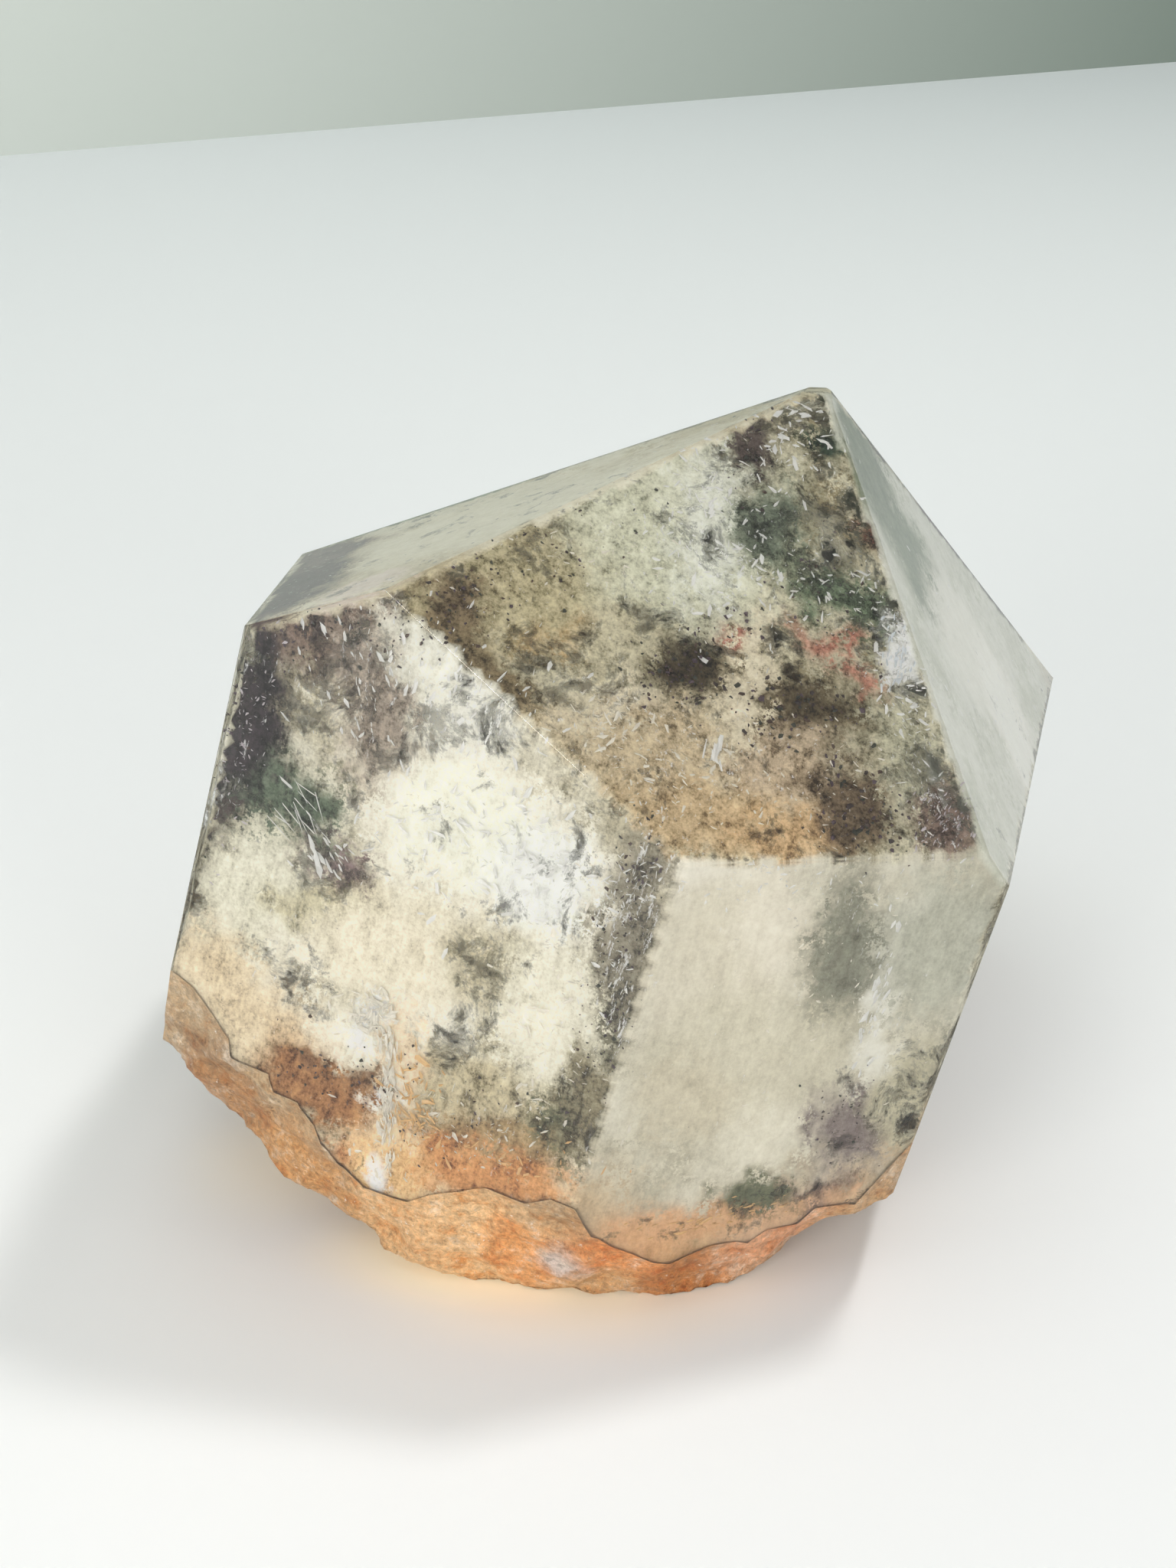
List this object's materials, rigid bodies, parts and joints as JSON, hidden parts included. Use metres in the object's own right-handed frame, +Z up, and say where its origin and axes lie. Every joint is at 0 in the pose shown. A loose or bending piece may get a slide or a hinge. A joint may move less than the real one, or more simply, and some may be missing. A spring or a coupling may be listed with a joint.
{
  "type": "lodolite quartz point",
  "caption": "Squat polished quartz crystal with an off-centre point, flat-ground sides, a garden of inclusions inside and a rough iron-stained base it leans on.",
  "frame": {"origin": "on the table under the middle of the stone's bounding box", "axes": "+Z up as the stone stands on its broken base, -Y towards the edge between the two front prism faces, +X towards the side that the tip leans to"},
  "size_m": [0.0572, 0.0566, 0.0468],
  "materials": {
    "quartz": "polished faces, rough iron-stained base"
  },
  "bodies": {
    "root": {"quartz_point": "quartz"}
  },
  "joints": []
}
